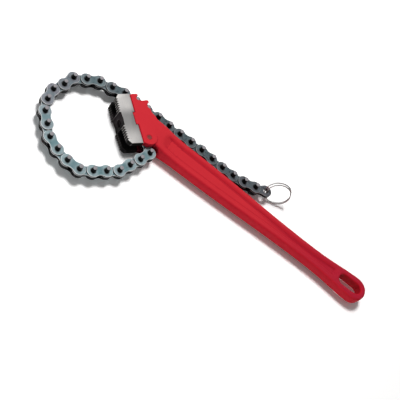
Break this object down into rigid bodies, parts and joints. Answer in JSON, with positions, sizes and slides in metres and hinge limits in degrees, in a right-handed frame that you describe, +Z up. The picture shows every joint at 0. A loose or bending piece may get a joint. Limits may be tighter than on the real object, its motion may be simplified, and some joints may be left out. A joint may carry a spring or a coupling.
{
  "type": "chain wrench",
  "caption": "Chain wrench with a forged handle, a bolted-on toothed jaw, a leaf chain hooked round into a loop, and a key ring on the chain's tail.",
  "frame": {"origin": "on the head's lower flat face, under the handle's centre line between the anchor pin and the hooked pins", "axes": "+X along the handle towards its hanging end, +Y towards the chain's tail, +Z up from the surface the tool lies on"},
  "size_m": [0.4438, 0.1605, 0.0328],
  "materials": {
    "red_paint": "satin red enamel over forged steel",
    "ground_steel": "ground bare sides with blackened teeth",
    "black_steel": "black oxide",
    "rivet_steel": "bare, lightly tinted by paint",
    "wire": "bright drawn wire",
    "chain_steel": "grey heat-treated steel",
    "pin_steel": "dark heat-treated steel, ends rubbed bright"
  },
  "bodies": {
    "body": {"handle": "red_paint", "jaw": "ground_steel", "jaw_screw": "black_steel", "anchor_pin": "rivet_steel"},
    "link_00": {"inner_plates_00": "chain_steel"},
    "link_01": {"outer_plates_01": "chain_steel", "pins_01": "pin_steel"},
    "link_02": {"inner_plates_02": "chain_steel"},
    "link_03": {"outer_plates_03": "chain_steel", "pins_03": "pin_steel"},
    "link_04": {"inner_plates_04": "chain_steel"},
    "link_05": {"outer_plates_05": "chain_steel", "pins_05": "pin_steel"},
    "link_06": {"inner_plates_06": "chain_steel"},
    "link_07": {"outer_plates_07": "chain_steel", "pins_07": "pin_steel"},
    "link_08": {"inner_plates_08": "chain_steel"},
    "link_09": {"outer_plates_09": "chain_steel", "pins_09": "pin_steel"},
    "link_10": {"inner_plates_10": "chain_steel"},
    "link_11": {"outer_plates_11": "chain_steel", "pins_11": "pin_steel"},
    "link_12": {"inner_plates_12": "chain_steel"},
    "link_13": {"outer_plates_13": "chain_steel", "pins_13": "pin_steel"},
    "link_14": {"inner_plates_14": "chain_steel"},
    "link_15": {"outer_plates_15": "chain_steel", "pins_15": "pin_steel"},
    "link_16": {"inner_plates_16": "chain_steel"},
    "link_17": {"outer_plates_17": "chain_steel", "pins_17": "pin_steel"},
    "link_18": {"inner_plates_18": "chain_steel"},
    "link_19": {"outer_plates_19": "chain_steel", "pins_19": "pin_steel"},
    "link_20": {"inner_plates_20": "chain_steel"},
    "link_21": {"outer_plates_21": "chain_steel", "pins_21": "pin_steel"},
    "link_22": {"inner_plates_22": "chain_steel"},
    "link_23": {"outer_plates_23": "chain_steel", "pins_23": "pin_steel"},
    "link_24": {"inner_plates_24": "chain_steel"},
    "link_25": {"outer_plates_25": "chain_steel", "pins_25": "pin_steel"},
    "link_26": {"inner_plates_26": "chain_steel"},
    "link_27": {"outer_plates_27": "chain_steel", "pins_27": "pin_steel"},
    "link_28": {"inner_plates_28": "chain_steel"},
    "link_29": {"outer_plates_29": "chain_steel", "pins_29": "pin_steel"},
    "link_30": {"inner_plates_30": "chain_steel"},
    "link_31": {"outer_plates_31": "chain_steel", "pins_31": "pin_steel"},
    "link_32": {"inner_plates_32": "chain_steel"},
    "ring": {"key_ring": "wire"}
  },
  "joints": [
    {"name": "loop_hinge_00", "type": "hinge", "parent": "body", "child": "link_00", "pos_m": [0.012, -0.0137, 0.0125], "axis": [0, 0, 1], "range_deg": [-8, 8]},
    {"name": "loop_hinge_01", "type": "hinge", "parent": "link_00", "child": "link_01", "pos_m": [0.02313, -0.02502, 0.0125], "axis": [0, 0, 1], "range_deg": [-16, 16]},
    {"name": "loop_hinge_02", "type": "hinge", "parent": "link_01", "child": "link_02", "pos_m": [0.01835, -0.04016, 0.0125], "axis": [0, 0, 1], "range_deg": [-16, 16]},
    {"name": "loop_hinge_03", "type": "hinge", "parent": "link_02", "child": "link_03", "pos_m": [0.01241, -0.05488, 0.0125], "axis": [0, 0, 1], "range_deg": [-16, 16]},
    {"name": "loop_hinge_04", "type": "hinge", "parent": "link_03", "child": "link_04", "pos_m": [0.00646, -0.0696, 0.0125], "axis": [0, 0, 1], "range_deg": [-8, 8]},
    {"name": "loop_hinge_05", "type": "hinge", "parent": "link_04", "child": "link_05", "pos_m": [-0.00477, -0.08083, 0.0125], "axis": [0, 0, 1], "range_deg": [-8, 8]},
    {"name": "loop_hinge_06", "type": "hinge", "parent": "link_05", "child": "link_06", "pos_m": [-0.01666, -0.09135, 0.0125], "axis": [0, 0, 1], "range_deg": [-8, 8]},
    {"name": "loop_hinge_07", "type": "hinge", "parent": "link_06", "child": "link_07", "pos_m": [-0.02974, -0.10034, 0.0125], "axis": [0, 0, 1], "range_deg": [-8, 8]},
    {"name": "loop_hinge_08", "type": "hinge", "parent": "link_07", "child": "link_08", "pos_m": [-0.04561, -0.10034, 0.0125], "axis": [0, 0, 1], "range_deg": [-8, 8]},
    {"name": "loop_hinge_09", "type": "hinge", "parent": "link_08", "child": "link_09", "pos_m": [-0.06102, -0.09652, 0.0125], "axis": [0, 0, 1], "range_deg": [-8, 8]},
    {"name": "loop_hinge_10", "type": "hinge", "parent": "link_09", "child": "link_10", "pos_m": [-0.07535, -0.08968, 0.0125], "axis": [0, 0, 1], "range_deg": [-16, 16]},
    {"name": "loop_hinge_11", "type": "hinge", "parent": "link_10", "child": "link_11", "pos_m": [-0.08625, -0.07814, 0.0125], "axis": [0, 0, 1], "range_deg": [-8, 8]},
    {"name": "loop_hinge_12", "type": "hinge", "parent": "link_11", "child": "link_12", "pos_m": [-0.09667, -0.06616, 0.0125], "axis": [0, 0, 1], "range_deg": [-8, 8]},
    {"name": "loop_hinge_13", "type": "hinge", "parent": "link_12", "child": "link_13", "pos_m": [-0.10273, -0.05149, 0.0125], "axis": [0, 0, 1], "range_deg": [-8, 8]},
    {"name": "loop_hinge_14", "type": "hinge", "parent": "link_13", "child": "link_14", "pos_m": [-0.1048, -0.03575, 0.0125], "axis": [0, 0, 1], "range_deg": [-8, 8]},
    {"name": "loop_hinge_15", "type": "hinge", "parent": "link_14", "child": "link_15", "pos_m": [-0.09912, -0.02093, 0.0125], "axis": [0, 0, 1], "range_deg": [-8, 8]},
    {"name": "loop_hinge_16", "type": "hinge", "parent": "link_15", "child": "link_16", "pos_m": [-0.09582, -0.0054, 0.0125], "axis": [0, 0, 1], "range_deg": [-8, 8]},
    {"name": "loop_hinge_17", "type": "hinge", "parent": "link_16", "child": "link_17", "pos_m": [-0.08339, 0.00448, 0.0125], "axis": [0, 0, 1], "range_deg": [-8, 8]},
    {"name": "loop_hinge_18", "type": "hinge", "parent": "link_17", "child": "link_18", "pos_m": [-0.07049, 0.01373, 0.0125], "axis": [0, 0, 1], "range_deg": [-8, 8]},
    {"name": "loop_hinge_19", "type": "hinge", "parent": "link_18", "child": "link_19", "pos_m": [-0.05509, 0.01757, 0.0125], "axis": [0, 0, 1], "range_deg": [-16, 16]},
    {"name": "loop_hinge_20", "type": "hinge", "parent": "link_19", "child": "link_20", "pos_m": [-0.03987, 0.0221, 0.0125], "axis": [0, 0, 1], "range_deg": [-16, 16]},
    {"name": "hook_hinge", "type": "hinge", "parent": "body", "child": "link_21", "pos_m": [-0.024, 0.0224, 0.0125], "axis": [0, 0, 1], "range_deg": [0, 30]},
    {"name": "tail_hinge_22", "type": "hinge", "parent": "link_21", "child": "link_22", "pos_m": [-0.00813, 0.02295, 0.0125], "axis": [0, 0, 1], "range_deg": [0, 15]},
    {"name": "tail_hinge_23", "type": "hinge", "parent": "link_22", "child": "link_23", "pos_m": [0.0077, 0.02406, 0.0125], "axis": [0, 0, 1], "range_deg": [0, 15]},
    {"name": "tail_hinge_24", "type": "hinge", "parent": "link_23", "child": "link_24", "pos_m": [0.02357, 0.02378, 0.0125], "axis": [0, 0, 1], "range_deg": [0, 15]},
    {"name": "tail_hinge_25", "type": "hinge", "parent": "link_24", "child": "link_25", "pos_m": [0.03945, 0.02406, 0.0125], "axis": [0, 0, 1], "range_deg": [0, 15]},
    {"name": "tail_hinge_26", "type": "hinge", "parent": "link_25", "child": "link_26", "pos_m": [0.05531, 0.02462, 0.0125], "axis": [0, 0, 1], "range_deg": [0, 15]},
    {"name": "tail_hinge_27", "type": "hinge", "parent": "link_26", "child": "link_27", "pos_m": [0.07118, 0.02517, 0.0125], "axis": [0, 0, 1], "range_deg": [0, 15]},
    {"name": "tail_hinge_28", "type": "hinge", "parent": "link_27", "child": "link_28", "pos_m": [0.08701, 0.02406, 0.0125], "axis": [0, 0, 1], "range_deg": [0, 15]},
    {"name": "tail_hinge_29", "type": "hinge", "parent": "link_28", "child": "link_29", "pos_m": [0.10288, 0.02351, 0.0125], "axis": [0, 0, 1], "range_deg": [0, 15]},
    {"name": "tail_hinge_30", "type": "hinge", "parent": "link_29", "child": "link_30", "pos_m": [0.11875, 0.02379, 0.0125], "axis": [0, 0, 1], "range_deg": [0, 15]},
    {"name": "tail_hinge_31", "type": "hinge", "parent": "link_30", "child": "link_31", "pos_m": [0.13434, 0.02681, 0.0125], "axis": [0, 0, 1], "range_deg": [0, 15]},
    {"name": "tail_hinge_32", "type": "hinge", "parent": "link_31", "child": "link_32", "pos_m": [0.14967, 0.03092, 0.0125], "axis": [0, 0, 1], "range_deg": [0, 15]},
    {"name": "key_ring_swing", "type": "hinge", "parent": "link_32", "child": "ring", "pos_m": [0.16381, 0.03813, 0.0125], "axis": [0, 0, 1], "range_deg": [-40, 70]}
  ],
  "couplings": [
    {"joint": "loop_hinge_01", "follows": "loop_hinge_00", "ratio": -2},
    {"joint": "loop_hinge_02", "follows": "loop_hinge_00", "ratio": 2},
    {"joint": "loop_hinge_03", "follows": "loop_hinge_00", "ratio": -2},
    {"joint": "loop_hinge_04", "follows": "loop_hinge_00", "ratio": 1},
    {"joint": "loop_hinge_05", "follows": "loop_hinge_00", "ratio": -1},
    {"joint": "loop_hinge_06", "follows": "loop_hinge_00", "ratio": 1},
    {"joint": "loop_hinge_07", "follows": "loop_hinge_00", "ratio": -1},
    {"joint": "loop_hinge_08", "follows": "loop_hinge_00", "ratio": 1},
    {"joint": "loop_hinge_09", "follows": "loop_hinge_00", "ratio": 1},
    {"joint": "loop_hinge_10", "follows": "loop_hinge_00", "ratio": -2},
    {"joint": "loop_hinge_11", "follows": "loop_hinge_00", "ratio": 1},
    {"joint": "loop_hinge_12", "follows": "loop_hinge_00", "ratio": 1},
    {"joint": "loop_hinge_13", "follows": "loop_hinge_00", "ratio": -1},
    {"joint": "loop_hinge_14", "follows": "loop_hinge_00", "ratio": -1},
    {"joint": "loop_hinge_15", "follows": "loop_hinge_00", "ratio": 1},
    {"joint": "loop_hinge_16", "follows": "loop_hinge_00", "ratio": -1},
    {"joint": "loop_hinge_17", "follows": "loop_hinge_00", "ratio": 1},
    {"joint": "loop_hinge_18", "follows": "loop_hinge_00", "ratio": -1},
    {"joint": "loop_hinge_19", "follows": "loop_hinge_00", "ratio": 2},
    {"joint": "loop_hinge_20", "follows": "loop_hinge_00", "ratio": -2}
  ]
}
